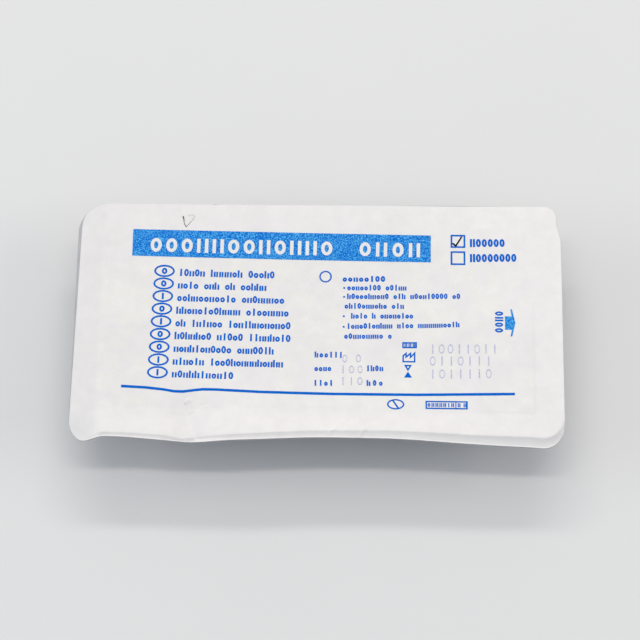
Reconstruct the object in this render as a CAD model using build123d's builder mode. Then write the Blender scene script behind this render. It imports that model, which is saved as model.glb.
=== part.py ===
"""Sealed sterile pack: a paper lid heat-sealed to a drawn film tray, made as one closed solid.

Sizes are in mm. X runs along the pack, Y towards the peel corner's long edge, Z up.
The origin is on the floor, under the middle of the pack.
"""
import math
import os

from build123d import *

os.makedirs("parts", exist_ok=True)

# The whole pack
pack_length = 201.9
pack_width = 106.0
flange_level = 27.0
flange_thickness = 0.7
corner_radius = 8.0
peel_corner_radius = 5.5

# The cut of its edges: the front one bows in at its middle and near its left end,
# the back one runs out towards the peel corner, and the left end is a little askew
front_bow = 2.9
front_bow_x = 17.0
front_bow_half_length = 42.0
front_pull = 1.4
front_pull_x = -82.0
front_pull_half_length = 11.0
back_draw = 1.0
back_flare = 1.9
left_draw = 0.9

# The pressed line where the seal ends and the free paper begins
seal_line_width = 1.2
seal_line_depth = 0.2

# The tray below the flange
seal_at_ends = 12.0
seal_at_sides = 14.5
mouth_corner_radius = 5.5
peel_cut_along = 42.0
peel_cut_across = 21.0
wall_draft = 7.0
base_edge_radius = 4.0
base_rim = 12.0
base_kick = 1.2
base_kick_draft = 45.0

# Stiffening flutes pressed into the tray's walls
flute_width = 8.0
flute_height = 15.0
flute_depth = 1.6
flute_side_slope = 40.0
flute_middle_share = 0.5
long_wall_flutes = 5
long_wall_flute_pitch = 30.0
peel_wall_flutes = 4
peel_wall_first_flute = -62.0
end_wall_flute_offset = 8.0

# The lid's relief: the sag over the hollow tray, and the folds of the flange
lid_sag = 2.0
sag_flat_half_width = 14.0
front_edge_rise = 2.0
end_fold_angle = 13.0
end_fold_softness = 1.5
lip_width_left = 0.9
lip_width_right = 4.3
lip_angle = 32.0
lip_softness = 0.5
lip_rim = 0.5
peel_fold_angle = 3.0
peel_fold_softness = 2.5
peel_fold_from_mouth = 12.0

# Local marks of handling: a dent and a pucker in the front flange, a soft ridge in the paper
dent_from_left = 48.9
dent_depth = 2.2
dent_half_length = 6.5
dent_reach = 26.0
pucker_from_left = 15.4
pucker_rise = 1.4
pucker_half_length = 4.5
pucker_reach = 14.0
ridge_x = 57.0
ridge_y = -4.5
ridge_angle = 25.0
ridge_rise = 0.5
ridge_half_width = 5.0
ridge_half_length = 18.0

# How closely the relief is followed
edge_step = 8.4
relief_step = 6.0
lip_step = 1.5
relief_margin = 6.0
relief_tolerance = 0.03
straight_after = 30.0

half_length = pack_length / 2
half_width = pack_width / 2
mouth_half_length = half_length - seal_at_ends
mouth_half_width = half_width - seal_at_sides

# The peel corner's diagonal, as a line with its normal pointing out of the mouth
peel_diagonal = math.hypot(peel_cut_along, peel_cut_across)
peel_normal_x = peel_cut_across / peel_diagonal
peel_normal_y = peel_cut_along / peel_diagonal
peel_line = mouth_half_length * peel_normal_x + (mouth_half_width - peel_cut_across) * peel_normal_y


def past(distance, softness):
    """Distance beyond a fold line, and nothing short of it, with the bend rounded off."""
    ratio = distance / softness
    if ratio > straight_after:
        return distance
    return softness * math.log1p(math.exp(ratio))


def ease(share):
    """Smooth step from 0 to 1."""
    share = min(1.0, max(0.0, share))
    return share * share * (3 - 2 * share)


def bump(distance, half_size):
    """Smooth hump with height 1 at no distance."""
    return math.exp(-((distance / half_size) ** 2))


def arch(x):
    """1 at mid length, falling to 0 at the pack's ends."""
    return max(0.0, 1 - (x / half_length) ** 2)


def front_edge(x):
    """Where the bowed front edge lies."""
    bow = front_bow * bump(x - front_bow_x, front_bow_half_length)
    pull = front_pull * bump(x - front_pull_x, front_pull_half_length)
    return -half_width + bow + pull


def back_edge(x):
    """Where the back edge lies."""
    share = (x + half_length) / pack_length
    return half_width - back_draw + back_flare * share**2


def front_lip(x, y):
    share = (x + half_length) / pack_length
    width = lip_width_left + (lip_width_right - lip_width_left) * share
    from_edge = y - front_edge(x)
    rolled = past(width - from_edge, lip_softness) - past(lip_rim - from_edge, lip_softness)
    return math.tan(math.radians(lip_angle)) * rolled


def end_fold(x):
    return math.tan(math.radians(end_fold_angle)) * past(-mouth_half_length - x, end_fold_softness)


def peel_fold(x, y):
    reach = x * peel_normal_x + y * peel_normal_y - peel_line - peel_fold_from_mouth
    return math.tan(math.radians(peel_fold_angle)) * past(reach, peel_fold_softness)


def sag(x, y):
    across = 1 - ease((abs(y) - sag_flat_half_width) / (half_width - sag_flat_half_width))
    return lid_sag * arch(x) * across


def front_rise(x, y):
    return front_edge_rise * arch(x) * ease((-mouth_half_width - y) / seal_at_sides)


def dent(x, y):
    along = bump(x + half_length - dent_from_left, dent_half_length)
    return dent_depth * along * ease(1 - (y - front_edge(x)) / dent_reach)


def pucker(x, y):
    along = bump(x + half_length - pucker_from_left, pucker_half_length)
    return pucker_rise * along * ease(1 - (y - front_edge(x)) / pucker_reach)


def ridge(x, y):
    turn = math.radians(ridge_angle)
    along = (x - ridge_x) * math.cos(turn) + (y - ridge_y) * math.sin(turn)
    across = (y - ridge_y) * math.cos(turn) - (x - ridge_x) * math.sin(turn)
    return ridge_rise * bump(along, ridge_half_length) * bump(across, ridge_half_width)


def lid_height(x, y):
    """Height of the lid's upper side above the floor."""
    raised = front_rise(x, y) + pucker(x, y) + ridge(x, y)
    lowered = sag(x, y) + end_fold(x) + front_lip(x, y) + peel_fold(x, y) + dent(x, y)
    return flange_level + raised - lowered


def stations(low, high, step):
    """Evenly spaced places from low up to, but not at, high."""
    count = max(3, round((high - low) / step))
    return [low + (high - low) * number / count for number in range(count)]


def relief(offset):
    """Sheet that follows the lid, lowered by the offset."""
    edge_x = half_length + relief_margin
    edge_y = half_width + relief_margin
    places_x = stations(-edge_x, edge_x, relief_step) + [edge_x]
    places_y = stations(-edge_y, -mouth_half_width, lip_step)
    places_y += stations(-mouth_half_width, edge_y, relief_step) + [edge_y]
    points = [[(x, y, lid_height(x, y) - offset) for y in places_y] for x in places_x]
    return Face.make_surface_from_array_of_points(points, tol=relief_tolerance, min_deg=3, max_deg=3)


def mouth_outline(inset):
    """Tray outline at the mouth, drawn in by the inset, with its peel corner cut off."""
    reach_x = mouth_half_length - inset
    reach_y = mouth_half_width - inset
    line = peel_line - inset
    Polygon(
        (-reach_x, -reach_y),
        (reach_x, -reach_y),
        (reach_x, (line - peel_normal_x * reach_x) / peel_normal_y),
        ((line - peel_normal_y * reach_y) / peel_normal_x, reach_y),
        (-reach_x, reach_y),
        align=None,
    )


# The flange with its lid: a thin bowed plate between two copies of the relief
with BuildPart() as flange:
    with BuildSketch(Plane.XY.offset(flange_level / 2)):
        with BuildLine():
            front_places = stations(left_draw - half_length, half_length, edge_step) + [half_length]
            back_places = stations(-half_length, half_length, edge_step) + [half_length]
            front = Spline(*[(x, front_edge(x)) for x in front_places])
            back = Spline(*[(x, back_edge(x)) for x in back_places])
            Line(front @ 0, back @ 0)
            Line(front @ 1, back @ 1)
        make_face()
    extrude(amount=flange_level)
    peel_tip = (half_length, half_width, flange_level)
    fillet(edges().filter_by(Axis.Z).sort_by_distance(peel_tip)[1:], corner_radius)
    fillet(edges().filter_by(Axis.Z).sort_by_distance(peel_tip)[0], peel_corner_radius)
    split(bisect_by=relief(0), keep=Keep.BOTTOM)
    split(bisect_by=relief(flange_thickness), keep=Keep.TOP)

# The cutter for the seal line: a narrow band along the mouth, above a lowered copy of the relief
with BuildPart() as seal_line:
    with BuildSketch(Plane.XY.offset(flange_level / 2)):
        mouth_outline(-seal_line_width / 2)
        fillet(vertices(), mouth_corner_radius + seal_line_width / 2)
        with BuildSketch(mode=Mode.PRIVATE) as free_paper:
            mouth_outline(seal_line_width / 2)
            fillet(vertices(), mouth_corner_radius - seal_line_width / 2)
        add(free_paper.sketch, mode=Mode.SUBTRACT)
    extrude(amount=flange_level)
    split(bisect_by=relief(seal_line_depth), keep=Keep.TOP)

# The drawn tray, trimmed inside the flange's thickness
wall_lean = math.tan(math.radians(wall_draft))
base_inset = flange_level * wall_lean
flute_level = flange_level * flute_middle_share
wall_x = mouth_half_length - (flange_level - flute_level) * wall_lean
wall_y = mouth_half_width - (flange_level - flute_level) * wall_lean


def flute_plane(x, y, outward):
    """Plane on a leaning wall, with its own Y up the wall and its Z out of the tray."""
    along = (-outward[1], outward[0], 0)
    out_of_wall = (outward[0], outward[1], -wall_lean)
    return Plane(origin=(x, y, flute_level), x_dir=along, z_dir=out_of_wall)


front_first_flute = -(long_wall_flutes - 1) / 2 * long_wall_flute_pitch
front_flutes = [front_first_flute + number * long_wall_flute_pitch for number in range(long_wall_flutes)]
back_flutes = [peel_wall_first_flute + number * long_wall_flute_pitch for number in range(peel_wall_flutes)]
flute_planes = [flute_plane(x, -wall_y, (0, -1)) for x in front_flutes]
flute_planes += [flute_plane(x, wall_y, (0, 1)) for x in back_flutes]
flute_planes += [flute_plane(side * wall_x, -end_wall_flute_offset, (side, 0)) for side in (-1, 1)]

with BuildPart() as tray:
    with BuildSketch(Plane.XY.offset(flange_level)):
        mouth_outline(0)
        fillet(vertices(), mouth_corner_radius)
    extrude(amount=-flange_level)
    draft(faces() - faces().filter_by(Axis.Z), Plane.XY.offset(flange_level), -wall_draft)
    fillet(edges().group_by(Axis.Z)[0], base_edge_radius)
    with BuildSketch(Plane.XY):
        mouth_outline(base_inset + base_rim)
        fillet(vertices(), mouth_corner_radius)
    extrude(amount=base_kick, taper=base_kick_draft, mode=Mode.SUBTRACT)
    with BuildSketch(*flute_planes):
        SlotOverall(flute_height, flute_width, rotation=90)
    extrude(amount=-flute_depth, taper=flute_side_slope, mode=Mode.SUBTRACT)
    split(bisect_by=relief(flange_thickness / 2), keep=Keep.BOTTOM)

with BuildPart() as sealed_pack:
    add(flange.part)
    add(seal_line.part, mode=Mode.SUBTRACT)
    add(tray.part)

sealed_pack.part.label = "sealed_pack"
export_step(sealed_pack.part, "parts/sealed_pack.step")
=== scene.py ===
"""Looks of the sealed sterile pack: a milky film tray, a heat-sealed paper lid and its blue print.

Sizes are in mm unless a name says otherwise, and meshes are scaled to metres when they are made.
Every sheet is drawn flat first, with the flange's upper side at height 0, and is then laid on the lid's
relief.
"""
import math

import bpy
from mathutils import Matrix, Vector
from mathutils.geometry import delaunay_2d_cdt


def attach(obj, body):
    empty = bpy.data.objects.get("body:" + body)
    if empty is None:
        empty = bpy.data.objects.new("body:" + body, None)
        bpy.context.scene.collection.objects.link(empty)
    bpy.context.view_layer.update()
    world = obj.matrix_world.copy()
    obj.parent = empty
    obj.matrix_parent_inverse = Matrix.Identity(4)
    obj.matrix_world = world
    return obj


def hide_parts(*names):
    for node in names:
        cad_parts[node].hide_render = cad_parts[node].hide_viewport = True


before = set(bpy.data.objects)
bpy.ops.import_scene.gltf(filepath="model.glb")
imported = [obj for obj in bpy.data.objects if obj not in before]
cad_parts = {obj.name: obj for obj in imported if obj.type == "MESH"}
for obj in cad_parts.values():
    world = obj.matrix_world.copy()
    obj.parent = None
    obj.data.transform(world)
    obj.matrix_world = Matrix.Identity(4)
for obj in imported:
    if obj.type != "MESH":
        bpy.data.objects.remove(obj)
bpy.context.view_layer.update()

MM = 0.001

# The whole pack
pack_length = 201.9
pack_width = 106.0
flange_level = 27.0
flange_thickness = 0.7
front_left_radius = 8.8
front_right_radius = 9.5
peel_corner_radius = 5.5
back_left_radius = 12.4

# The cut of its edges: the front one bows in at its middle and near its left end, where a kink stops it,
# the back one runs out towards the peel corner, the right one is drawn in beside that corner,
# and the left end is a little askew
front_bow = 2.9
front_bow_x = 17.0
front_bow_half_length = 42.0
front_pull = 1.4
front_pull_x = -82.0
front_pull_half_length = 11.0
kink_x = -86.4
kink_run = 8.5
# Small waves of the front edge: middle, cut in or out, half length
FRONT_WAVES = (
    (-92.0, -0.4, 5.0),
    (-70.0, 0.45, 9.0),
    (-44.0, -0.45, 7.0),
    (16.0, -0.45, 16.0),
    (95.0, -0.4, 6.0),
)
back_draw = 1.0
back_flare = 1.9
left_draw = 0.9
film_left_draw = 0.5
right_draw = 1.7
right_draw_from = 36.0
right_draw_run = 10.0
edge_power = 8

# The tray below the flange
seal_at_ends = 12.0
seal_at_sides = 14.5
mouth_corner_radius = 5.5
peel_cut_along = 42.0
peel_cut_across = 21.0
wall_draft = 7.0
root_radius = 0.9
base_edge_radius = 4.0
base_rim = 12.0
base_kick = 1.2
kick_width = 1.6
kick_margin = 1.5

# Stiffening flutes pressed into the tray's walls
flute_width = 8.0
flute_height = 15.0
flute_depth = 1.6
flute_slope_width = 1.5
flute_level = flange_level / 2
long_wall_flute_places = (-60.0, -30.0, 0.0, 30.0, 60.0)
peel_wall_flute_places = (-62.0, -32.0, -2.0, 28.0)
end_wall_flute_places = (-8.0,)
no_flute = 1000.0
square_on = 0.99

# Paper lid and ink, as heights above the film
paper_top = 0.2
paper_thickness = 0.16
ink_top = 0.26
white_top = 0.31
ink_thickness = 0.09

# The paper's edge: a strip of film shows at its left, and its back is drawn in a little and nicked
paper_inset = 0.12
paper_front_overhang = 0.1
paper_left_strip = 0.8
paper_left_slant = 0.0143
paper_strip_end = 49.0
paper_strip_run = 9.0
paper_back_draw = 0.25
paper_back_draw_x = 55.0
paper_back_draw_half_length = 16.0
nick_place = -42.85
nick_width = 1.4
nick_depth = 0.6

# How finely the sheets are divided: closer along edges and bends, and closest in the creased patch,
# which is given as left, low, right and high
sheet_step = 1.25
edge_rows = (0.5, 1.2)
rim_rows = (0.2, 0.4, 0.55, 0.7, 0.9)
fine_step = 0.35
fine_patch = (-57.0, -43.5, -43.0, -33.0)
bend_rows = (-2.2, -1.6, -1.1, -0.7, -0.4, -0.2, -0.05, 0.1, 0.25, 0.45, 0.8, 1.3, 1.9)
wall_step = 0.9
least_wall_parts = 4
least_mouth_radius = 1.2
ring_clearance = 0.75
corner_steps = 9
bend_clearance = 0.2
sharpest_miter = 0.25
same_place = 0.0001
weld_distance = 0.002
crisp_angle = 40.0

half_length = pack_length / 2
half_width = pack_width / 2
mouth_half_length = half_length - seal_at_ends
mouth_half_width = half_width - seal_at_sides
wall_lean = math.tan(math.radians(wall_draft))

peel_diagonal = math.hypot(peel_cut_along, peel_cut_across)
peel_normal = (peel_cut_across / peel_diagonal, peel_cut_along / peel_diagonal)
peel_line = mouth_half_length * peel_normal[0] + (mouth_half_width - peel_cut_across) * peel_normal[1]

# The lid's relief, as the inputs of every tree that lays something on it
RELIEF = {
    "Lid sag": 2.0,
    "Sag flat half width": 14.0,
    "Front edge rise": 2.0,
    "End fold slope": math.tan(math.radians(13.0)),
    "End fold softness": 1.0,
    "Lip width left": 1.35,
    "Lip width right": 3.9,
    "Lip pinch": 0.45,
    "Lip slope": math.tan(math.radians(44.5)),
    "Corner lip share": 0.35,
    "Lip softness": 0.14,
    "Lip curl left": 0.55,
    "Lip curl right": 3.2,
    "Rim width": 0.55,
    "Rim slope": 0.3,
    "Rim softness": 0.12,
    "Peel fold slope": math.tan(math.radians(3.0)),
    "Peel fold softness": 2.5,
    "Peel fold from mouth": 12.0,
    "Dent from left": 48.9,
    "Dent depth": 2.2,
    "Dent half length": 6.5,
    "Dent reach": 26.0,
    "Pucker from left": 14.6,
    "Pucker rise": 1.5,
    "Pucker half length": 3.4,
    "Pucker roundness": 0.15,
    "Pucker reach": 14.0,
    "Facet slope": 0.13,
    "Facet length": 9.0,
    "Ridge rise": 0.5,
    "Ridge half length": 18.0,
    "Ridge half width": 5.0,
    "Seal line depth": 0.06,
    "Seal line half width": 1.0,
    "Cockle height": 0.1,
    "Cockle size": 16.0,
    "Wall fade": 11.0,
}
ridge_place = (57.0, -4.5)
ridge_turn = math.radians(25.0)
corner_lip_run = 3.0
pinch_x = -54.0
pinch_half_length = 4.5
facet_top = (-52.35, -41.3)
facet_lean = 0.31
facet_step = 1.5
facet_softness = 1.0
full_follow_depth = 1.0

# Short creases in the flange, and its drooping corner last:
# middle x, middle y, turn in degrees, rise, half length, half width
CREASES = (
    (7.1, -47.7, 40.0, 0.3, 3.0, 0.7),
    (19.3, -47.9, 52.0, 0.35, 3.5, 0.8),
    (-51.75, -35.3, 30.0, 0.4, 1.2, 0.8),
    (-53.05, -37.0, -48.0, -0.3, 0.9, 0.3),
    (-52.4, -39.3, 96.0, -0.28, 1.8, 0.3),
    (-50.5, -41.0, 30.0, -0.2, 1.2, 0.35),
    (-45.5, -36.9, 25.0, -0.2, 1.8, 0.45),
    (-96.5, -51.0, 0.0, -1.5, 5.0, 6.0),
)


class Wire:
    """A socket of a node tree. Sums written with wires become Math nodes in that tree."""

    def __init__(self, tree, socket=None):
        self.tree = tree
        self.socket = socket

    def node(self, kind, sockets=None, output=0, **settings):
        """Adds a node of any type, with its settings and the values or links of its sockets."""
        made = self.tree.nodes.new(kind)
        for name, value in settings.items():
            setattr(made, name, value)
        for place, value in (sockets or {}).items():
            for one in value if isinstance(value, list) else [value]:
                if isinstance(one, Wire):
                    self.tree.links.new(one.socket, made.inputs[place])
                else:
                    made.inputs[place].default_value = one
        return Wire(self.tree, made.outputs[output] if made.outputs else None)

    def out(self, output):
        """Another output of the node that this wire comes from."""
        return Wire(self.tree, self.socket.node.outputs[output])

    def math(self, operation, *others):
        return self.node("ShaderNodeMath", dict(enumerate((self, *others))), operation=operation)

    def __add__(self, other):
        return self.math("ADD", other)

    __radd__ = __add__

    def __sub__(self, other):
        return self.math("SUBTRACT", other)

    def __rsub__(self, other):
        return self.node("ShaderNodeMath", {0: other, 1: self}, operation="SUBTRACT")

    def __mul__(self, other):
        return self.math("MULTIPLY", other)

    __rmul__ = __mul__

    def __truediv__(self, other):
        return self.math("DIVIDE", other)

    def __neg__(self):
        return self.math("MULTIPLY", -1.0)

    def __abs__(self):
        return self.math("ABSOLUTE")

    def vector(self, x=0.0, y=0.0, z=0.0):
        return self.node("ShaderNodeCombineXYZ", {0: x, 1: y, 2: z})

    def apart(self):
        """The three parts of a place, in mm."""
        parts = self.node("ShaderNodeSeparateXYZ", {0: self})
        return [parts.out(axis) * (1 / MM) for axis in range(3)]


# Sums and edges, for numbers and for wires alike

def larger(first, second):
    return first.math("MAXIMUM", second) if isinstance(first, Wire) else max(first, second)


def smaller(first, second):
    return first.math("MINIMUM", second) if isinstance(first, Wire) else min(first, second)


def exponent(value):
    return value.math("EXPONENT") if isinstance(value, Wire) else math.exp(value)


def square_root(value):
    return value.math("SQRT") if isinstance(value, Wire) else math.sqrt(value)


def held(share):
    """Held between 0 and 1."""
    return smaller(larger(share, 0.0), 1.0)


def ease(share):
    """Smooth step from 0 to 1."""
    part = held(share)
    return part * part * (3.0 - 2.0 * part)


def bump(distance, half_size):
    """Smooth hump with height 1 at no distance."""
    ratio = distance / half_size
    return exponent(-(ratio * ratio))


def mouth_reach(x, y):
    """Distance outside the tray's mouth, less than nothing inside it."""
    corner = x * peel_normal[0] + y * peel_normal[1] - peel_line
    return larger(larger(abs(x) - mouth_half_length, abs(y) - mouth_half_width), corner)


def front_cut(x):
    """How far the front edge is cut in."""
    bow = front_bow * bump(x - front_bow_x, front_bow_half_length)
    pull = front_pull * bump(larger(x, kink_x) - front_pull_x, front_pull_half_length)
    waves = sum(wave * bump(x - middle, half_size) for middle, wave, half_size in FRONT_WAVES)
    return bow + waves + pull * held(1.0 + (x - kink_x) / kink_run)


def corner_rise(x):
    """How far the front edge has turned up within a corner."""
    rise = 0.0
    for side, radius in ((-1, front_left_radius), (1, front_right_radius)):
        into_corner = smaller(larger(x * side - half_length + radius, 0.0), radius)
        rise = radius - square_root(radius * radius - into_corner * into_corner) + rise
    return rise


def from_front(x, y):
    """Distance in from the front edge."""
    return y + half_width - front_cut(x) - corner_rise(x)


def lip_width(x, size=RELIEF.get):
    """How far in from the front edge the lip begins to roll down."""
    run = (x + half_length) / pack_length
    width = size("Lip width left") + (size("Lip width right") - size("Lip width left")) * run
    return width * (1.0 - size("Lip pinch") * bump(x - pinch_x, pinch_half_length))


# The lid's relief, for wires

def past(distance, softness):
    """Distance beyond a fold line, and nothing short of it, with the bend rounded off."""
    tail = (1.0 + exponent(-abs(distance / softness))).math("LOGARITHM", math.e)
    return larger(distance, 0.0) + tail * softness


def hump(x, y, place, turn, long, wide):
    """Smooth hump of two half sizes, turned in the lid's plane."""
    along = (x - place[0]) * math.cos(turn) + (y - place[1]) * math.sin(turn)
    across = (y - place[1]) * math.cos(turn) - (x - place[0]) * math.sin(turn)
    return bump(along, long) * bump(across, wide)


def rolled_lip(x, from_edge, size):
    """How far the front lip rolls down. It curls in less and less, and its narrow rim turns up again."""
    run = (x + half_length) / pack_length
    curl = size("Lip curl left") + (size("Lip curl right") - size("Lip curl left")) * run
    beyond = past(lip_width(x, size) - from_edge, size("Lip softness"))
    lip = size("Lip slope") * curl * (1.0 - exponent(-(beyond / curl)))
    into_corner = ease((size("Pucker from left") - half_length - x) / corner_lip_run)
    lip = lip * (1.0 - (1.0 - size("Corner lip share")) * into_corner)
    return lip - size("Rim slope") * past(size("Rim width") - from_edge, size("Rim softness"))


def folds(x, y, size):
    """How far the left end and the peel corner are folded down."""
    end_fold = size("End fold slope") * past(-mouth_half_length - x, size("End fold softness"))
    corner = x * peel_normal[0] + y * peel_normal[1] - peel_line - size("Peel fold from mouth")
    return end_fold + size("Peel fold slope") * past(corner, size("Peel fold softness"))


def handling_marks(x, y, from_edge, size):
    """Rise of the pucker and the creases, less the dent and the flat facet beside it."""
    dent = size("Dent depth") * bump(x + half_length - size("Dent from left"), size("Dent half length"))
    dent = dent * ease(1.0 - from_edge / size("Dent reach"))
    aside = x + half_length - size("Pucker from left")
    roundness = size("Pucker roundness")
    from_pucker = square_root(aside * aside + roundness * roundness)
    pucker = size("Pucker rise") * exponent(-from_pucker / size("Pucker half length"))
    pucker = pucker * ease(1.0 - from_edge / size("Pucker reach"))
    from_line = x - facet_top[0] - (facet_top[1] - y) * facet_lean
    facet = size("Facet slope") * past(facet_top[1] - y, facet_softness) * ease(from_line / facet_step)
    facet = facet * exponent(-larger(from_line, 0.0) / size("Facet length"))
    marks = pucker - dent - facet * ease(from_edge / lip_width(x, size))
    for crease_x, crease_y, turn, rise, long, wide in CREASES:
        marks = marks + rise * hump(x, y, (crease_x, crease_y), math.radians(turn), long, wide)
    return marks


def relief_height(x, y, size):
    """Height of the lid's upper side above the level flange."""
    arch = larger(1.0 - x * x / half_length**2, 0.0)
    from_edge = from_front(x, y)
    flat = size("Sag flat half width")
    sag = size("Lid sag") * arch * (1.0 - ease((abs(y) - flat) / (half_width - flat)))
    rise = size("Front edge rise") * arch * ease((-mouth_half_width - y) / seal_at_sides)
    ridge = hump(x, y, ridge_place, ridge_turn, size("Ridge half length"), size("Ridge half width"))
    seal_line = size("Seal line depth") * bump(mouth_reach(x, y), size("Seal line half width"))
    place = x.vector(x / size("Cockle size"), y / size("Cockle size"))
    cockle = x.node("ShaderNodeTexNoise", {"Vector": place, "Scale": 1.0, "Detail": 2.0})
    raised = rise + ridge * size("Ridge rise") + cockle * size("Cockle height")
    raised = raised + handling_marks(x, y, from_edge, size)
    return raised - sag - seal_line - folds(x, y, size) - rolled_lip(x, from_edge, size)


def laid_on_lid(geometry, size, lift):
    """Moves flat points onto the lid's relief. The tray's walls follow it less and less further down."""
    x, y, z = geometry.node("GeometryNodeInputPosition").apart()
    follow = ease((z + size("Wall fade")) / (size("Wall fade") - full_follow_depth))
    rise = relief_height(x, y, size) * follow + flange_level + lift
    offset = geometry.vector(z=rise * MM)
    return geometry.node("GeometryNodeSetPosition", {"Geometry": geometry, "Offset": offset})


# Trees

def new_tree(name, sizes):
    """An empty tree with a mesh and a material in, a mesh out, and a named input for each size."""
    tree = bpy.data.node_groups.new(name, "GeometryNodeTree")
    kinds = {float: "NodeSocketFloat", int: "NodeSocketInt"}
    tree.interface.new_socket("Geometry", in_out="INPUT", socket_type="NodeSocketGeometry")
    tree.interface.new_socket("Material", in_out="INPUT", socket_type="NodeSocketMaterial")
    for size, value in sizes.items():
        socket = tree.interface.new_socket(size, in_out="INPUT", socket_type=kinds[type(value)])
        socket.default_value = value
    tree.interface.new_socket("Geometry", in_out="OUTPUT", socket_type="NodeSocketGeometry")
    return tree, Wire(tree).node("NodeGroupInput")


def end_tree(geometry, start):
    """The tree's last nodes."""
    real = geometry.node("GeometryNodeRealizeInstances", {0: geometry})
    dressed = real.node("GeometryNodeSetMaterial", {"Geometry": real, "Material": start.out("Material")})
    real.node("NodeGroupOutput", {0: dressed})


def joined(shapes):
    return shapes[0].node("GeometryNodeJoinGeometry", {0: shapes})


def welded(geometry, distance):
    """Closes the seams of a mesh."""
    return geometry.node("GeometryNodeMergeByDistance", {"Geometry": geometry, "Distance": distance})


def stretched(shape, width, height):
    scale = shape.vector(width, height, 1.0)
    return shape.node("GeometryNodeTransform", {"Geometry": shape, "Scale": scale})


def moved(shape, x, y=0.0):
    return shape.node("GeometryNodeTransform", {"Geometry": shape, "Translation": shape.vector(x, y)})


def points_along(start, pitch):
    """Points along the drawn rows, a pitch apart."""
    curve = start.node("GeometryNodeMeshToCurve", {0: start})
    return start.node("GeometryNodeCurveToPoints", {"Curve": curve, "Length": pitch}, mode="LENGTH")


def one_of(shapes):
    """Shapes to pick from, the last of them under number 0."""
    return shapes[0].node("GeometryNodeGeometryToInstance", {0: shapes})


def picked(start, highest, seed):
    """For every point the number of a shape, at random."""
    return start.node("FunctionNodeRandomValue", {4: 0, 5: highest, 8: seed}, 2, data_type="INT")


def set_on(points, shape, pick=None, **others):
    """Sets a shape on every point, or the picked one of several."""
    sockets = {"Points": points, "Instance": shape, **others}
    if pick:
        sockets |= {"Pick Instance": True, "Instance Index": pick}
    return points.node("GeometryNodeInstanceOnPoints", sockets)


def sheet_on_lid_tree():
    """Gives a flat sheet its thickness and lays it on the lid."""
    sizes = {"Lift": paper_top, "Thickness": paper_thickness, "Divisions": 0}
    tree, start = new_tree("sheet_on_lid", {**sizes, **RELIEF})
    fine = start.node("GeometryNodeSubdivideMesh", {"Mesh": start, "Level": start.out("Divisions")})
    back = start.node("GeometryNodeFlipFaces", {0: fine})
    depth = {"Offset Scale": start.out("Thickness") * MM, "Individual": False}
    below = start.node("GeometryNodeExtrudeMesh", {"Mesh": back, **depth})
    closed = welded(joined([fine, below]), weld_distance * MM)
    end_tree(laid_on_lid(closed, start.out, start.out("Lift")), start)
    return tree


def solid_on_lid_tree():
    """Joins a tube to its caps, and lays it on the lid as it is."""
    tree, start = new_tree("solid_on_lid", {"Lift": paper_top, "Join within": weld_distance, **RELIEF})
    closed = welded(start, start.out("Join within") * MM)
    end_tree(laid_on_lid(closed, start.out, start.out("Lift")), start)
    return tree


def film_tray_tree():
    """Presses the flutes into the tray's walls and folds its flange."""
    sizes = {
        "Flute width": flute_width,
        "Flute height": flute_height,
        "Flute depth": flute_depth,
        "Flute slope width": flute_slope_width,
    }
    tree, start = new_tree("film_tray", {**sizes, **RELIEF})
    along = start.node("GeometryNodeInputNamedAttribute", {"Name": "from_flute"}, data_type="FLOAT")
    inward = start.node("GeometryNodeInputNamedAttribute", {"Name": "inward"}, data_type="FLOAT_VECTOR")
    z = start.node("GeometryNodeInputPosition").apart()[2]
    straight = (start.out("Flute height") - start.out("Flute width")) / 2.0
    over = larger(abs(z + flange_level - flute_level) - straight, 0.0)
    reach = square_root(along * along + over * over)
    depth = ease((start.out("Flute width") / 2.0 - reach) / start.out("Flute slope width"))
    depth = depth * start.out("Flute depth") * MM
    push = start.node("ShaderNodeVectorMath", {0: inward, "Scale": depth}, operation="SCALE")
    pressed = start.node("GeometryNodeSetPosition", {"Geometry": start, "Offset": push})
    end_tree(laid_on_lid(pressed, start.out, 0.0), start)
    return tree


def flat_ring(start, width, height, stroke):
    """Flat oval ring, stroke wide, lying in the lid's plane."""
    ovals = []
    for inset in (0.0, stroke):
        circle = start.node("GeometryNodeCurvePrimitiveCircle", {"Resolution": 16, "Radius": 0.5})
        ovals.append(stretched(circle, width - 2.0 * inset, height - 2.0 * inset))
    return start.node("GeometryNodeFillCurve", {"Curve": joined(ovals)}, mode="TRIANGLES")


def flat_bar(start, width, height):
    """Flat upright bar."""
    sides = {"Size X": width, "Size Y": height, "Vertices X": 2, "Vertices Y": 2}
    return start.node("GeometryNodeMeshGrid", sides)


def plain_marks(start, wide, high, low_share, stroke):
    """Simple shapes in place of words: rings and upright bars, some of them low."""
    low = high * low_share
    drop = (low - high) / 2.0
    side = (wide - stroke) / 2.0
    low_bar = flat_bar(start, stroke, low)
    tall_bar = flat_bar(start, stroke, high)
    low_pair = joined([moved(low_bar, side, drop), moved(low_bar, -side, drop)])
    step_pair = joined([moved(tall_bar, -side), moved(low_bar, side, drop)])
    low_ring = moved(flat_ring(start, wide, low, stroke), 0.0, drop)
    tall_ring = flat_ring(start, wide, high, stroke)
    return [tall_bar, low_ring, step_pair, low_ring, tall_ring, low_pair, low_ring]


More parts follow.
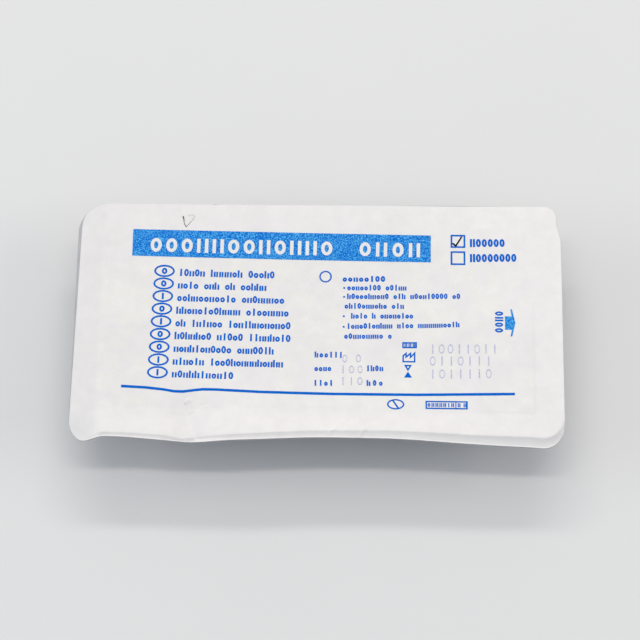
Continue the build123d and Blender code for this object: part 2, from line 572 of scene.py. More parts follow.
def rows_of_marks_tree():
    """Fills each drawn row with plain marks, in groups like words."""
    sizes = {
        "Mark height": 2.2,
        "Low share": 0.72,
        "Mark pitch": 1.6,
        "Stroke": 0.4,
        "Mark width": 1.4,
        "Gap chance": 0.14,
        "Kinds": 7,
        "Seed": 1,
    }
    tree, start = new_tree("rows_of_marks", sizes)
    wide, high, stroke = (start.out(size) * MM for size in ("Mark width", "Mark height", "Stroke"))
    marks = one_of(plain_marks(start, wide, high, start.out("Low share"), stroke))
    points = points_along(start, start.out("Mark pitch") * MM)
    seed = start.out("Seed")
    chance = {6: 1.0 - start.out("Gap chance"), 8: seed}
    kept = start.node("FunctionNodeRandomValue", chance, 3, data_type="BOOLEAN")
    pick = picked(start, start.out("Kinds") - 1.0, seed + 1.0)
    tangent = {"Vector": points.out("Tangent")}
    turn = start.node("FunctionNodeAlignRotationToVector", tangent, axis="X", pivot_axis="Z")
    end_tree(set_on(points, marks, pick, Selection=kept, Rotation=turn), start)
    return tree


def dotted_stamp_tree():
    """Fills each drawn row with dotted noughts and ones, like a date stamp."""
    sizes = {"Figure height": 3.6, "Figure width": 2.0, "Figure pitch": 3.4, "Dot size": 0.42, "Seed": 1}
    tree, start = new_tree("dotted_stamp", sizes)
    radius = start.out("Dot size") * (MM / 2)
    dot = start.node("GeometryNodeMeshCircle", {"Vertices": 7, "Radius": radius}, fill_type="NGON")
    height = start.out("Figure height") * MM
    circle = start.node("GeometryNodeMeshCircle", {"Vertices": 12, "Radius": 0.5}, fill_type="NONE")
    nought = stretched(circle, start.out("Figure width") * MM, height)
    ends = {"Start Location": start.vector(y=height * -0.5), "Offset": start.vector(y=height * 0.5)}
    one = start.node("GeometryNodeMeshLine", {"Count": 7, **ends}, mode="END_POINTS")
    figures = one_of([set_on(nought, dot), set_on(one, dot)])
    points = points_along(start, start.out("Figure pitch") * MM)
    end_tree(set_on(points, figures, picked(start, 1, start.out("Seed"))), start)
    return tree


def column_of_ovals_tree():
    """Sets an outlined oval, with a plain mark inside, on every point of the drawn column."""
    sizes = {
        "Oval length": 8.6,
        "Oval width": 5.5,
        "Line width": 0.78,
        "Mark height": 2.8,
        "Mark slimness": 0.8,
        "Stroke": 0.8,
        "Seed": 1,
    }
    tree, start = new_tree("column_of_ovals", sizes)
    long, wide, line = (start.out(size) * MM for size in ("Oval length", "Oval width", "Line width"))
    high, stroke = (start.out(size) * MM for size in ("Mark height", "Stroke"))
    ring = flat_ring(start, high * start.out("Mark slimness"), high, stroke)
    marks = one_of([ring, flat_bar(start, stroke, high)])
    rims = set_on(start, flat_ring(start, long, wide, line))
    middles = set_on(start, marks, picked(start, 1, start.out("Seed")))
    end_tree(joined([rims, middles]), start)
    return tree


def grow(piece, *steps):
    """Runs a piece through Geometry Nodes trees and keeps the result as its plain mesh."""
    for tree, values in steps:
        modifier = piece.modifiers.new(tree.name, "NODES")
        modifier.node_group = tree
        for item in tree.interface.items_tree:
            if item.item_type == "SOCKET" and item.in_out == "INPUT" and item.name in values:
                modifier[item.identifier] = values[item.name]
    shown = bpy.context.evaluated_depsgraph_get()
    mesh = bpy.data.meshes.new_from_object(piece.evaluated_get(shown), depsgraph=shown)
    piece.modifiers.clear()
    flat = piece.data
    piece.data = mesh
    bpy.data.meshes.remove(flat)
    mesh.name = piece.name
    return piece


def new_piece(name, points, edges=(), faces=()):
    """Object from points in mm."""
    mesh = bpy.data.meshes.new(name)
    mesh.from_pydata([Vector(point) * MM for point in points], edges, faces)
    piece = bpy.data.objects.new(name, mesh)
    bpy.context.collection.objects.link(piece)
    return piece


def smooth(piece):
    """Smooth shading, with the sheets' cut edges kept crisp."""
    for face in piece.data.polygons:
        face.use_smooth = True
    piece.data.set_sharp_from_angle(angle=math.radians(crisp_angle))


def on_object(piece):
    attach(piece, "root")


# Outlines

def rounded(corners, radii, parts):
    """Points along a polygon with rounded corners, and their outward normals. Runs have so many parts."""
    places = []
    count = len(corners)
    for number, corner in enumerate(corners):
        here = Vector(corner)
        before = (Vector(corners[number - 1]) - here).normalized()
        after = (Vector(corners[(number + 1) % count]) - here).normalized()
        half_turn = before.angle(after) / 2
        radius = radii[number]
        middle = here + (before + after).normalized() * (radius / math.sin(half_turn))
        first = Vector((-before.y, before.x))
        sweep = math.pi - 2 * half_turn
        for share in range(corner_steps + 1):
            turn = sweep * share / corner_steps
            out = Vector((
                first.x * math.cos(turn) - first.y * math.sin(turn),
                first.x * math.sin(turn) + first.y * math.cos(turn),
            ))
            places.append((middle + out * radius, out))
        following = (number + 1) % count
        next_after = (Vector(corners[(number + 2) % count]) - Vector(corners[following])).normalized()
        next_half_turn = (-after).angle(next_after) / 2
        begin = here + after * (radius / math.tan(half_turn))
        finish = Vector(corners[following]) - after * (radii[following] / math.tan(next_half_turn))
        out = Vector((after.y, -after.x))
        for share in range(1, parts[number]):
            places.append((begin.lerp(finish, share / parts[number]), out))
    return places


def back_cut(x):
    """How far the back edge is cut in, less than nothing where it runs out."""
    return back_draw - back_flare * ((x + half_length) / pack_length) ** 2


def pack_outline(inset):
    """The pack's outline, drawn in, with its long edges cut to their curves."""
    reach_x = half_length - inset
    reach_y = half_width - inset
    corners = [
        (left_draw - reach_x, -reach_y),
        (reach_x, -reach_y),
        (reach_x, reach_y),
        (film_left_draw - reach_x, reach_y),
    ]
    radii = [front_left_radius, front_right_radius, peel_corner_radius, back_left_radius]
    radii = [radius - inset for radius in radii]
    parts = [round(pack_length / sheet_step), round(pack_width / sheet_step)] * 2
    points = []
    for place, _ in rounded(corners, radii, parts):
        share = place.y / reach_y
        cut = front_cut(place.x) * max(0.0, -share) - back_cut(place.x) * max(0.0, share)
        drawn = right_draw * ease((place.y - right_draw_from) / right_draw_run)
        points.append((place.x - drawn * max(0.0, place.x / half_length) ** edge_power, place.y + cut))
    return points


def paper_outline(inset):
    """The paper's outline: its left edge is cut at a slant, and its back edge is drawn in a little."""
    points = []
    for x, y in pack_outline(inset + paper_inset):
        shown_film = max(0.0, paper_left_strip + paper_left_slant * y)
        shown_film *= ease((paper_strip_end - y) / paper_strip_run)
        left = shown_film * max(0.0, -x / half_length) ** edge_power
        front = paper_front_overhang * max(0.0, -y / half_width) ** edge_power
        drawn = paper_back_draw * bump(x - paper_back_draw_x, paper_back_draw_half_length)
        back = drawn * max(0.0, y / half_width) ** edge_power
        points.append((x + left, y - front - back))
    return points


def mouth_corners(inset):
    reach_x = mouth_half_length - inset
    reach_y = mouth_half_width - inset
    line = peel_line - inset
    return [
        (-reach_x, -reach_y),
        (reach_x, -reach_y),
        (reach_x, (line - peel_normal[0] * reach_x) / peel_normal[1]),
        ((line - peel_normal[1] * reach_y) / peel_normal[0], reach_y),
        (-reach_x, reach_y),
    ]


def mouth_loop(inset):
    """Points along the tray's outline, drawn in, with their outward normals."""
    corners = mouth_corners(0)
    parts = []
    for number, corner in enumerate(corners):
        run = (Vector(corners[(number + 1) % len(corners)]) - Vector(corner)).length
        parts.append(max(least_wall_parts, round(run / wall_step)))
    radii = [max(least_mouth_radius, mouth_corner_radius - inset)] * len(corners)
    return rounded(mouth_corners(inset), radii, parts)


def crossings(y, loop):
    """Where a closed outline crosses a level."""
    found = []
    for start, finish in zip(loop, loop[1:] + loop[:1]):
        if (start[1] > y) != (finish[1] > y):
            found.append(start[0] + (y - start[1]) / (finish[1] - start[1]) * (finish[0] - start[0]))
    return found


def is_inside(x, crossed):
    """Whether a place on a level lies inside the outline that crosses it there."""
    return sum(place > x for place in crossed) % 2 == 1


def in_patch(x, y):
    """Whether a place is where the flange is creased most."""
    left, low, right, high = fine_patch
    return left < x < right and low < y < high


def staggered(number, row, step):
    """Place of a point within its row, a quarter or three quarters into its step."""
    return (number + 0.25 + 0.5 * (row % 2)) * step


def lid_grid(outline):
    """Points that divide a sheet with the outline, closer together at its edge and along the rolled lip."""
    columns = round(pack_length / sheet_step)
    rows = round((pack_width + back_flare) / sheet_step)
    inner = outline(edge_rows[-1] + sheet_step / 2)
    rim = outline(rim_rows[0])
    points = []
    for row in range(rows):
        y = -half_width + row * sheet_step
        crossed = crossings(y, inner)
        for column in range(columns):
            x = -half_length + staggered(column, row, sheet_step)
            clear = from_front(x, y) - lip_width(x) - bend_rows[-1]
            if clear > sheet_step / 2 and is_inside(x, crossed) and not in_patch(x, y):
                points.append((x, y))
    left, low, right, high = fine_patch
    for row in range(round((high - low) / fine_step)):
        for column in range(round((right - left) / fine_step)):
            points.append((left + staggered(column, row, fine_step), low + (row + 0.5) * fine_step))
    for column in range(columns * 2):
        x = -half_length + (column + 0.5) * sheet_step / 2
        bends = [lip_width(x) + row for row in bend_rows]
        for distance in (*rim_rows, *[bend for bend in bends if bend > rim_rows[-1] + bend_clearance]):
            y = -half_width + front_cut(x) + corner_rise(x) + distance
            if is_inside(x, crossings(y, rim)):
                points.append((x, y))
    for row in edge_rows:
        for x, y in outline(row):
            if from_front(x, y) > lip_width(x) + bend_rows[-1]:
                points.append((x, y))
    return points


def flat_sheet(loops, grid):
    """Flat mesh between an outline and the holes in it: its points, its faces, and each loop's points."""
    points = []
    edges = []
    for loop in loops:
        first = len(points)
        points += loop
        edges += [(first + number, first + (number + 1) % len(loop)) for number in range(len(loop))]
    points += grid
    whole_hull = 0
    result = delaunay_2d_cdt([Vector(point) for point in points], edges, [], whole_hull, same_place, True)
    placed, _, faces, origins = result[:4]
    where = {source: number for number, sources in enumerate(origins) for source in sources}
    on_loops = {where[source] for source in range(len(points) - len(grid))}
    found = []
    first = 0
    for loop in loops:
        found.append([where[first + number] for number in range(len(loop))])
        first += len(loop)
    placed_loops = [[tuple(placed[number]) for number in loop] for loop in found]
    kept = []
    for face in faces:
        x = sum(placed[number].x for number in face) / len(face)
        y = sum(placed[number].y for number in face) / len(face)
        away_from_edges = not on_loops.issuperset(face)
        if away_from_edges or sum(is_inside(x, crossings(y, loop)) for loop in placed_loops) == 1:
            kept.append(list(face))
    return placed, kept, found


# Finishes

def new_finish(name):
    """An empty material: the wire to start from, and its object coordinates."""
    material = bpy.data.materials.new(name)
    material.use_nodes = True
    material.node_tree.nodes.clear()
    root = Wire(material.node_tree)
    return material, root, root.node("ShaderNodeTexCoord", output="Object")


def noise(place, size, detail=2.0, roughness=0.5, stretch=None):
    """Cloudy pattern with features of about the size, in mm."""
    if stretch:
        place = place.node("ShaderNodeMapping", {"Vector": place, "Scale": stretch})
    values = {"Vector": place, "Scale": 1 / (size * MM), "Detail": detail, "Roughness": roughness}
    return place.node("ShaderNodeTexNoise", values)


def blend(share, first, second):
    return share.node("ShaderNodeMix", {0: share, 6: first, 7: second}, 2, data_type="RGBA")


def spread(value, low, high):
    """0 below low, 1 above high, and even between."""
    return held((value - low) / (high - low))


def end_finish(root, values, height=None, depth=0.0):
    """Closes a material with its shader. The height is a relief of the depth, in mm."""
    if height is not None:
        values["Normal"] = root.node("ShaderNodeBump", {"Height": height, "Distance": depth * MM})
    shader = root.node("ShaderNodeBsdfPrincipled", values)
    root.node("ShaderNodeOutputMaterial", {"Surface": shader})


def colour(red, green, blue):
    return (red, green, blue, 1.0)


def sterile_paper():
    """Coated medical paper: cloudy formation, fine fibres, a matt face, and some painted shade."""
    material, root, place = new_finish("sterile_paper")
    cloud = noise(place, size=5.0, detail=3.0, roughness=0.55)
    wide_cloud = noise(place, size=22.0)
    fibre = noise(place, size=0.5, detail=3.0, roughness=0.6, stretch=(1.0, 0.45, 1.0))
    x, y, _ = place.apart()
    # The x term is painted light: the paper is made darker towards the left and lighter towards the right.
    tone = cloud * 0.5 + wide_cloud * 0.3 + fibre * 0.2 + x * (0.06 / half_length)
    shade = blend(spread(tone, 0.3, 0.7), colour(0.77, 0.76, 0.747), colour(0.85, 0.84, 0.825))
    hue = spread(noise(place, size=11.0, detail=4.0, roughness=0.65), 0.42, 0.58)
    blotch = blend(hue, colour(0.985, 0.975, 0.995), colour(1.0, 1.0, 0.985))
    seal_edge = (-0.6, 0.9)
    # Painted shade: the sealed band is made darker and greyer on the folded-down left end; elsewhere it
    # keeps nearly the paper's own tint.
    left_end_shade = spread(-x - mouth_half_length, *seal_edge)
    seal_tint_and_left_shade = blend(left_end_shade, colour(1.0, 0.99, 1.004), colour(0.972, 0.964, 0.975))
    tint = blend(spread(mouth_reach(x, y), *seal_edge), blotch, seal_tint_and_left_shade)
    # Painted shade along the seal line at the right and lower right: a faint darker line where its shallow
    # groove would be shaded.
    seal_shade_half_width = 0.7
    pressed = bump(mouth_reach(x, y), seal_shade_half_width)
    pressed = pressed * spread(x, 0.0, mouth_half_length) * spread(-y, -12.0, 5.0)
    tint = blend(pressed, tint, colour(0.96, 0.955, 0.972))
    colours = {0: 1.0, 6: shade, 7: tint}
    shade = root.node("ShaderNodeMix", colours, 2, data_type="RGBA", blend_type="MULTIPLY")
    values = {"Base Color": shade, "Roughness": 0.62 + cloud * 0.2, "Specular IOR Level": 0.35}
    end_finish(root, values, height=cloud * 0.6 + fibre * 0.4, depth=0.14)
    return material


def milky_film():
    """Drawn tray film: bluish and milky, with a soft gloss and faint draw marks."""
    material, root, place = new_finish("milky_film")
    haze = noise(place, size=9.0, detail=3.0)
    draw_marks = noise(place, size=3.0, stretch=(1.0, 1.0, 0.12))
    shade = blend(spread(haze, 0.3, 0.7), colour(0.40, 0.395, 0.42), colour(0.47, 0.465, 0.49))
    values = {"Base Color": shade, "Roughness": 0.3 + draw_marks * 0.22, "Coat Weight": 0.1}
    end_finish(root, values, height=haze * 0.5 + draw_marks * 0.5, depth=0.12)
    return material


def speckled_ink(name, full, thin, speck_low, speck_high):
    """Ink on rough paper: small pinholes where the paper shows through."""
    material, root, place = new_finish(name)
    holes = noise(place, size=0.5, detail=3.0, roughness=0.7)
    patch = noise(place, size=4.0)
    shade = blend(spread(holes + (patch - 0.5) * 0.12, speck_low, speck_high), full, thin)
    values = {"Base Color": shade, "Roughness": 0.6 + holes * 0.2, "Specular IOR Level": 0.03}
    end_finish(root, values, height=holes, depth=0.02)
    return material


def studio_floor():
    """Pale, even studio paper."""
    material, root, place = new_finish("studio_floor")
    tone = noise(place, size=90.0)
    shade = blend(tone, colour(0.736, 0.737, 0.741), colour(0.756, 0.757, 0.761))
    end_finish(root, {"Base Color": shade, "Roughness": 0.9, "Specular IOR Level": 0.1})
    return material


paper = sterile_paper()
film = milky_film()
banner_ink = speckled_ink("banner_ink", colour(0.0005, 0.14, 0.6), colour(0.12, 0.53, 0.92), 0.47, 0.61)
blue_ink = speckled_ink("blue_ink", colour(0.0, 0.12, 0.58), colour(0.02, 0.25, 0.7), 0.52, 0.74)
stamp_ink = speckled_ink("stamp_ink", colour(0.36, 0.38, 0.66), colour(0.6, 0.6, 0.76), 0.42, 0.6)
black_ink = speckled_ink("black_ink", colour(0.006, 0.005, 0.006), colour(0.03, 0.027, 0.03), 0.5, 0.75)

sheet_on_lid = sheet_on_lid_tree()
solid_on_lid = solid_on_lid_tree()
rows_of_marks = rows_of_marks_tree()
dotted_stamp = dotted_stamp_tree()
column_of_ovals = column_of_ovals_tree()


# The film tray

def tray_profile():
    """The wall's section from under the flange to the base panel, as insets from the mouth and heights."""
    steps = 6
    profile = []
    for number in range(1, steps + 1):
        turn = math.pi / 2 * number / steps
        inset = -root_radius * (1 - math.sin(turn))
        profile.append((inset, -flange_thickness - root_radius * (1 - math.cos(turn))))
    foot_turn = math.pi / 2 - math.radians(wall_draft)
    foot_z = -flange_level + base_edge_radius * (1 - math.cos(foot_turn))
    top_z = profile[-1][1]
    wall_rows = round((top_z - foot_z) / wall_step)
    for number in range(1, wall_rows + 1):
        z = top_z + (foot_z - top_z) * number / wall_rows
        profile.append(((top_z - z) * wall_lean, z))
    foot_inset = profile[-1][0]
    for number in range(1, steps + 1):
        turn = foot_turn * (1 - number / steps)
        inset = foot_inset + base_edge_radius * (math.sin(foot_turn) - math.sin(turn))
        profile.append((inset, -flange_level + base_edge_radius * (1 - math.cos(turn))))
    rim_inset = flange_level * wall_lean + base_rim
    profile.append((rim_inset - kick_margin, -flange_level))
    for number in range(steps + 1):
        share = number / steps
        profile.append((rim_inset + kick_width * share, -flange_level + base_kick * ease(share)))
    profile.append((rim_inset + kick_width + kick_margin, -flange_level + base_kick))
    return profile


def flute_distance(place, out):
    """Distance along a wall from its nearest flute."""
    if out.y < -square_on:
        return min(abs(place.x - middle) for middle in long_wall_flute_places)
    if out.y > square_on:
        return min(abs(place.x - middle) for middle in peel_wall_flute_places)
    if abs(out.x) > square_on:
        return min(abs(place.y - middle) for middle in end_wall_flute_places)
    return no_flute


def band(upper, lower):
    """Faces of a wall between two rings of points."""
    count = len(upper)
    faces = []
    for number in range(count):
        after = (number + 1) % count
        faces.append([upper[after], upper[number], lower[number], lower[after]])
    return faces


def film_tray():
    """The tray's film: its flange above and below, the flange's cut edge, the walls and the base."""
    outline = pack_outline(0)
    grid = lid_grid(pack_outline)
    top, top_faces, (top_rim,) = flat_sheet([outline], grid)
    points = [(place.x, place.y, 0.0) for place in top]
    faces = list(top_faces)

    mouth = [(place.x, place.y) for place, _ in mouth_loop(-root_radius)]
    ring_grid = [place for place in grid if mouth_reach(*place) > root_radius + ring_clearance]
    under, under_faces, (under_rim, under_mouth) = flat_sheet([outline, mouth], ring_grid)
    first = len(points)
    points += [(place.x, place.y, -flange_thickness) for place in under]
    faces += [[first + number for number in reversed(face)] for face in under_faces]
    faces += band(top_rim, [first + number for number in under_rim])

    inward = {}
    upper = [first + number for number in under_mouth]
    for inset, z in tray_profile():
        loop = mouth_loop(inset)
        lower = list(range(len(points), len(points) + len(loop)))
        for number, (place, out) in zip(lower, loop):
            points.append((place.x, place.y, z))
            inward[number] = (flute_distance(place, out), -out)
        faces += band(upper, lower)
        upper = lower
    faces.append(list(reversed(upper)))

    tray = new_piece("film_tray", points, (), faces)
    from_flute = tray.data.attributes.new("from_flute", "FLOAT", "POINT")
    push = tray.data.attributes.new("inward", "FLOAT_VECTOR", "POINT")
    for number in range(len(points)):
        distance, direction = inward.get(number, (no_flute, Vector((0, 0))))
        from_flute.data[number].value = distance
        push.data[number].vector = (direction.x, direction.y, 0.0)
    grow(tray, (film_tray_tree(), {"Material": film}))
    smooth(tray)
    return tray


tray = film_tray()
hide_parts("sealed_pack")
on_object(tray)


# The paper lid

def paper_lid():
    outline = []
    for x, y in paper_outline(0):
        nick = max(0.0, 1 - abs(x - nick_place) / nick_width) if y > 0 else 0.0
        outline.append((x, y - nick * nick_depth))
    points, faces, _ = flat_sheet([outline], lid_grid(paper_outline))
    lid = new_piece("paper_lid", [(place.x, place.y, 0.0) for place in points], (), faces)
    return grow(lid, (sheet_on_lid, {"Material": paper}))


lid = paper_lid()
smooth(lid)
on_object(lid)


# The print

def flat_print(name, shape, ink, divisions=0):
    """A flat printed shape, laid on the lid."""
    points, faces = shape
    piece = new_piece(name, [(x, y, 0.0) for x, y in points], (), faces)
    sizes = {"Lift": ink_top, "Thickness": ink_thickness, "Divisions": divisions}
    grow(piece, (sheet_on_lid, {"Material": ink, **sizes}))
    on_object(piece)


def printed_rows(name, rows, sizes, tree=rows_of_marks, ink=blue_ink, top=ink_top):
    """Rows of marks, each drawn as a line through the middle of its marks."""
    points = []
    edges = []
    for start, finish in rows:
        edges.append((len(points), len(points) + 1))
        points += [(*start, 0.0), (*finish, 0.0)]
    piece = new_piece(name, points, edges)
    laid = {"Material": ink, "Lift": top, "Thickness": ink_thickness}
    grow(piece, (tree, {"Material": ink, **sizes}), (sheet_on_lid, laid))
    on_object(piece)


def mark_sizes(height, width, pitch, stroke, seed, gap_chance=0.0):
    """Sizes of the marks in a row, under the names of the tree's inputs."""
    return {
        "Mark height": height,
        "Mark width": width,
        "Mark pitch": pitch,
        "Stroke": stroke,
        "Seed": seed,
        "Gap chance": gap_chance,
    }


def strip(path, width, step):
    """Points and faces of a level strip along a path."""
    points = []
    faces = []
    for number, (start, finish) in enumerate(zip(path, path[1:])):
        parts = max(1, round((finish[0] - start[0]) / step))
        for part in range(parts + (number == len(path) - 2)):
            share = part / parts
            x = start[0] + (finish[0] - start[0]) * share
            y = start[1] + (finish[1] - start[1]) * share
            points += [(x, y - width / 2), (x, y + width / 2)]
    for number in range(len(points) // 2 - 1):
        low = 2 * number
        faces.append((low, low + 2, low + 3, low + 1))
    return points, faces


def outline_band(corners, width):
    """Points and faces of a closed line of the width along the inside of a polygon, drawn anticlockwise."""
    inner = []
    count = len(corners)
    for number in range(count):
        here = Vector(corners[number])
        before = (here - Vector(corners[number - 1])).normalized()
        after = (Vector(corners[(number + 1) % count]) - here).normalized()
        left = Vector((-before.y - after.y, before.x + after.x)).normalized()
        miter = max(sharpest_miter, left.dot(Vector((-after.y, after.x))))
        inner.append(tuple(here + left * (width / miter)))
    faces = []
    for number in range(count):
        after = (number + 1) % count
        faces.append((number, after, count + after, count + number))
    return list(corners) + inner, faces


def box_corners(left, low, right, high):
    return [(left, low), (right, low), (right, high), (left, high)]


def oval_corners(middle, length, width, count=28):
    corners = []
    for number in range(count):
        turn = 2 * math.pi * number / count
        corners.append((middle[0] + length / 2 * math.cos(turn), middle[1] + width / 2 * math.sin(turn)))
    return corners


def together(*shapes):
    """Joins several flat shapes into one list of points and one of faces."""
    points = []
    faces = []
    for shape_points, shape_faces in shapes:
        first = len(points)
        points += shape_points
        faces += [tuple(first + number for number in face) for face in shape_faces]
    return points, faces


def solid(corners):
    return list(corners), [tuple(range(len(corners)))]


# Marks of one height, as in a title
all_tall = {"Low share": 1.0}
tall_bars_and_rings = {**all_tall, "Kinds": 3}
print_step = 1.0

# Banner with its white marks
banner_left = (-77.35, 34.35)
banner_right = (46.75, 33.5)
banner_height = 11.9
flat_print("banner", strip([banner_left, banner_right], banner_height, print_step), banner_ink)
title_rows = [((-67.55, 33.4), (3.45, 33.1)), ((19.45, 33.0), (39.95, 32.8))]
title_sizes = {**mark_sizes(height=6.2, width=4.7, pitch=6.2, stroke=1.45, seed=4), **tall_bars_and_rings}
printed_rows("title_marks", title_rows, title_sizes, ink=paper, top=white_top)

# Ovals and the rows beside them
oval_count = 9
first_oval = (-63.65, 21.9)
last_oval = (-64.75, -23.1)
oval_places = []
for number in range(oval_count):
    share = number / (oval_count - 1)
    oval_x = first_oval[0] + (last_oval[0] - first_oval[0]) * share
    oval_y = first_oval[1] + (last_oval[1] - first_oval[1]) * share
    oval_places.append((oval_x, oval_y, 0.0))
ovals = new_piece("print_ovals", oval_places)
grow(
    ovals,
    (column_of_ovals, {"Material": blue_ink, "Seed": 3}),
    (sheet_on_lid, {"Material": blue_ink, "Lift": ink_top, "Thickness": ink_thickness}),
)
on_object(ovals)

row_ends = (-19.0, -20.1, -12.5, -12.8, -11.9, -11.8, -18.6, -14.6, -34.8)
row_offset = 6.9
row_drop = 0.5
row_fall = 0.3
name_rows = []
for (oval_x, oval_y, _), row_end in zip(oval_places, row_ends):
    row_y = oval_y - row_drop
    name_rows.append(((oval_x + row_offset, row_y), (row_end, row_y - row_fall)))
name_sizes = mark_sizes(height=3.2, width=1.95, pitch=2.15, stroke=0.74, seed=86, gap_chance=0.1)
printed_rows("print_rows", name_rows, name_sizes)

# Notes on the right
note_rows = [
    ((12.95, 16.0), (35.95, 16.2)),
    ((12.95, 12.1), (58.15, 12.6)),
    ((11.95, 7.8), (34.95, 8.0)),
    ((12.95, 3.4), (38.75, 3.7)),
    ((12.95, -1.2), (57.75, -0.1)),
    ((11.95, -5.6), (29.95, -5.3)),
]
note_sizes = mark_sizes(height=2.5, width=1.5, pitch=1.7, stroke=0.62, seed=5, gap_chance=0.1)
printed_rows("print_notes", note_rows, note_sizes)
heading_sizes = mark_sizes(height=2.6, width=1.85, pitch=2.2, stroke=0.75, seed=5)
printed_rows("print_heading", [((11.15, 19.9), (26.95, 20.0))], heading_sizes)

# Sizes and their units
size_rows = [
    ((-0.05, -13.9), (9.95, -13.9)),
    ((-0.05, -20.0), (5.35, -19.9)),
    ((-0.25, -26.5), (6.15, -26.4)),
    ((21.15, -19.7), (26.55, -19.6)),
    ((21.35, -26.2), (26.35, -26.1)),
]
printed_rows("print_sizes", size_rows, mark_sizes(height=2.6, width=1.5, pitch=1.75, stroke=0.64, seed=8))

# Marks beside the boxes and the arrow
box_rows = [((64.1, 36.3), (76.4, 36.5)), ((64.1, 29.6), (81.2, 29.9))]
box_sizes = {**mark_sizes(height=3.6, width=2.15, pitch=2.4, stroke=0.88, seed=9), **tall_bars_and_rings}
printed_rows("print_box_marks", box_rows, box_sizes)
arrow_rows = [((74.75, -2.5), (74.85, 4.9))]
arrow_sizes = {**mark_sizes(height=3.4, width=1.9, pitch=2.1, stroke=0.74, seed=2), **tall_bars_and_rings}
printed_rows("print_arrow_marks", arrow_rows, arrow_sizes)

# Date stamps
large_stamp = {"Figure height": 3.5, "Figure width": 2.0, "Figure pitch": 3.6, "Dot size": 0.56, "Seed": 6}
large_stamp_rows = [
    ((47.55, -11.0), (72.95, -10.7)),
    ((47.55, -16.2), (70.35, -15.9)),
    ((47.55, -21.9), (70.35, -21.6)),
]
printed_rows("date_stamps", large_stamp_rows, large_stamp, dotted_stamp, stamp_ink)
small_stamp = {"Figure height": 3.0, "Figure width": 1.7, "Figure pitch": 3.0, "Dot size": 0.52, "Seed": 7}
small_stamp_rows = [
    ((11.55, -15.5), (17.15, -15.4)),
    ((10.95, -20.3), (17.85, -20.2)),
    ((10.95, -25.5), (17.85, -25.4)),
]
printed_rows("size_stamps", small_stamp_rows, small_stamp, dotted_stamp, stamp_ink)

# Rule along the foot of the print
rule_path = [
    (-79.25, -29.5),
    (-69.05, -29.9),
    (-62.05, -30.6),
    (-57.55, -31.3),
    (-54.05, -31.3),
    (-50.05, -30.7),
    (-46.05, -30.2),
    (-41.05, -30.2),
    (-22.65, -30.9),
    (5.75, -31.3),
    (40.95, -31.2),
    (80.85, -30.4),
]
rule_width = 1.15
flat_print("print_rule", strip(rule_path, rule_width, print_step), blue_ink)

# Boxes, arrow and small outlined shapes
line_width = 0.6
box_line_width = 0.72
symbol_divisions = 3
tick_box = box_corners(55.0, 34.1, 61.1, 39.9)
plain_box = box_corners(55.0, 26.5, 61.1, 32.6)
notes_ring = oval_corners((3.15, 20.7), 5.2, 5.2)
stamp_box = box_corners(35.05, -10.7, 41.05, -8.0)
works = [(35.15, -16.9), (40.45, -16.9), (40.45, -12.1), (38.75, -13.9)]
works += [(38.75, -12.3), (36.95, -13.9), (36.95, -12.3), (35.15, -13.9)]
glass_top = [(35.85, -18.0), (37.4, -20.8), (39.05, -18.0)]
glass_foot = [(35.85, -23.6), (39.05, -23.6), (37.4, -20.95)]
foot_oval = oval_corners((32.45, -35.5), 7.0, 4.6)
foot_stroke = [(31.35, -33.3), (30.75, -33.6), (33.45, -37.7), (34.05, -37.4)]
foot_box = box_corners(44.55, -37.4, 61.65, -33.8)
divider = box_corners(56.65, -37.4, 57.05, -33.8)
symbols = together(
    outline_band(tick_box, box_line_width),
    outline_band(plain_box, box_line_width),
    outline_band(notes_ring, line_width),
    outline_band(stamp_box, line_width),
    outline_band(works, line_width),
    outline_band(glass_top, line_width),
    solid(glass_foot),
    outline_band(foot_oval, line_width),
    solid(foot_stroke),
    outline_band(foot_box, line_width),
    solid(divider),
)
flat_print("print_symbols", symbols, blue_ink, symbol_divisions)
arrow = [(77.2, 3.7), (77.2, -2.2), (80.0, -2.2), (79.5, -5.1), (80.1, -5.2)]
arrow += [(81.5, 0.8), (80.1, 6.9), (79.4, 6.8), (80.0, 3.7)]
arrow_faces = [(0, 1, 2, 8), (2, 3, 4, 5), (2, 5, 8), (8, 5, 6, 7)]
flat_print("print_arrow", (arrow, arrow_faces), banner_ink, symbol_divisions)
foot_rows = [
    ((45.95, -35.6), (55.55, -35.6)),
    ((58.15, -35.6), (60.55, -35.6)),
    ((36.55, -9.4), (39.85, -9.4)),
]
foot_sizes = {**mark_sizes(height=1.7, width=1.15, pitch=1.5, stroke=0.46, seed=14), **all_tall}
printed_rows("print_foot_marks", foot_rows, foot_sizes)
bullet_size = 0.9
bullets = [oval_corners((10.95, y), bullet_size, bullet_size, count=8) for y in (15.8, 11.8, 3.2, -1.5)]
flat_print("print_bullets", together(*[solid(bullet) for bullet in bullets]), blue_ink)

# The pen tick in the upper box
tick_line = [(55.5, 35.9), (56.0, 36.4), (57.1, 35.5), (59.3, 39.2), (59.9, 38.9), (57.2, 34.4)]
tick_faces = [(0, 5, 2, 1), (5, 4, 3, 2)]
tick_divisions = 2
flat_print("pen_tick", (tick_line, tick_faces), black_ink, tick_divisions)


# A short dark fibre caught on the paper

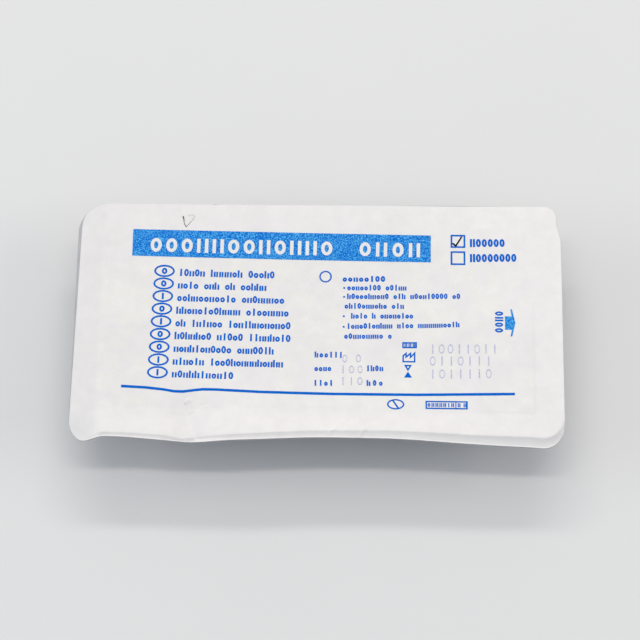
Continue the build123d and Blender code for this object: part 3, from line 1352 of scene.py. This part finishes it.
def caught_fibre():
    """A curled fibre, thick and thin along its two strands."""
    fibre_radius = 0.09
    stem = [(-56.8, 46.4), (-56.3, 44.9), (-56.4, 43.3), (-55.3, 41.6)]
    loop = [(-55.3, 41.7), (-53.6, 43.7), (-51.7, 46.4), (-52.9, 47.4), (-54.7, 46.8)]
    stem_thickness = [2.4, 2.0, 0.5, 1.8]
    loop_thickness = [0.9, 0.5, 0.45, 0.45, 0.4]
    curve = bpy.data.curves.new("caught_fibre", "CURVE")
    curve.dimensions = "3D"
    curve.bevel_depth = fibre_radius * MM
    curve.bevel_resolution = 2
    curve.use_fill_caps = True
    for route, thicknesses in ((stem, stem_thickness), (loop, loop_thickness)):
        spline = curve.splines.new("NURBS")
        spline.points.add(len(route) - 1)
        for point, (x, y), thickness in zip(spline.points, route, thicknesses):
            point.co = (x * MM, y * MM, 0.0, 1.0)
            point.radius = thickness
        spline.order_u = 3
        spline.use_endpoint_u = True
    line = bpy.data.objects.new("caught_fibre_line", curve)
    bpy.context.collection.objects.link(line)
    shown = bpy.context.evaluated_depsgraph_get()
    mesh = bpy.data.meshes.new_from_object(line.evaluated_get(shown), depsgraph=shown)
    bpy.data.objects.remove(line)
    fibre = bpy.data.objects.new("caught_fibre", mesh)
    bpy.context.collection.objects.link(fibre)
    return grow(fibre, (solid_on_lid, {"Material": black_ink, "Lift": ink_top}))


fibre = caught_fibre()
smooth(fibre)
on_object(fibre)


# Studio

def studio():
    floor_size = 6000.0
    half = floor_size / 2
    corners = [(-half, -half, 0.0), (half, -half, 0.0), (half, half, 0.0), (-half, half, 0.0)]
    floor = new_piece("floor", corners, (), [(0, 1, 2, 3)])
    floor.data.materials.append(studio_floor())

    world = bpy.data.worlds.new("studio_air")
    world.use_nodes = True
    world.node_tree.nodes.clear()
    root = Wire(world.node_tree)
    heading = root.node("ShaderNodeTexCoord", output="Generated")
    towards_back = root.node("ShaderNodeSeparateXYZ", {0: heading}, 1)
    air = blend(spread(towards_back, -1.0, 1.0), colour(0.315, 0.362, 0.412), colour(0.58, 0.585, 0.59))
    glow = root.node("ShaderNodeBackground", {"Color": air, "Strength": 1.0})
    root.node("ShaderNodeOutputWorld", {"Surface": glow})
    bpy.context.scene.world = world


def look_back(azimuth, elevation):
    """Direction out of the pack in degrees. Azimuth 0 is in front of it, and 180 behind."""
    turn = math.radians(azimuth)
    rise = math.radians(elevation)
    return Vector((math.sin(turn) * math.cos(rise), -math.cos(turn) * math.cos(rise), math.sin(rise)))


def set_up(name, data, target, away, distance):
    """Puts a lamp or a camera at a distance from its target, facing it."""
    holder = bpy.data.objects.new(name, data)
    holder.location = target + away * distance
    holder.rotation_euler = away.to_track_quat("Z", "Y").to_euler()
    bpy.context.collection.objects.link(holder)
    return holder


def soft_lamp(name, azimuth, elevation, shift, length, width, power, tint):
    """Level strip lamp that looks down at the pack. Its sizes are in metres."""
    distance = 2.4
    lamp = bpy.data.lights.new(name, "AREA")
    lamp.shape = "RECTANGLE"
    lamp.size = length
    lamp.size_y = width
    lamp.energy = power
    lamp.color = tint
    set_up(name, lamp, Vector((shift, 0.0, 0.0)), look_back(azimuth, elevation), distance)


def camera():
    distance = 1.0
    target = Vector((1.17, 0.65, flange_level)) * MM
    focal_pixels = 2433.0
    image_pixels = 640.0
    view = bpy.data.cameras.new("photo_camera")
    view.sensor_width = 36.0
    view.lens = view.sensor_width * focal_pixels / image_pixels
    away = look_back(azimuth=0.93, elevation=68.0)
    bpy.context.scene.camera = set_up("photo_camera", view, target, away, distance)


studio()
warm = (1.0, 0.945, 0.885)
cool = (0.93, 0.97, 1.0)
# Name, azimuth, elevation, shift to the right, length, width, power, tint
LAMPS = (
    ("high_lamp", 180.0, 83.0, -0.1, 2.2, 0.2, 12.7, warm),
    ("low_lamp", 180.0, 45.0, -0.1, 2.2, 0.2, 17.4, warm),
    ("right_lamp", 90.0, 30.0, 0.0, 1.6, 0.8, 12.5, warm),
    ("left_lamp", -90.0, 25.0, 0.0, 1.6, 0.8, 13.5, cool),
)
for lamp in LAMPS:
    soft_lamp(*lamp)
camera()
bpy.context.scene.view_settings.view_transform = "Standard"
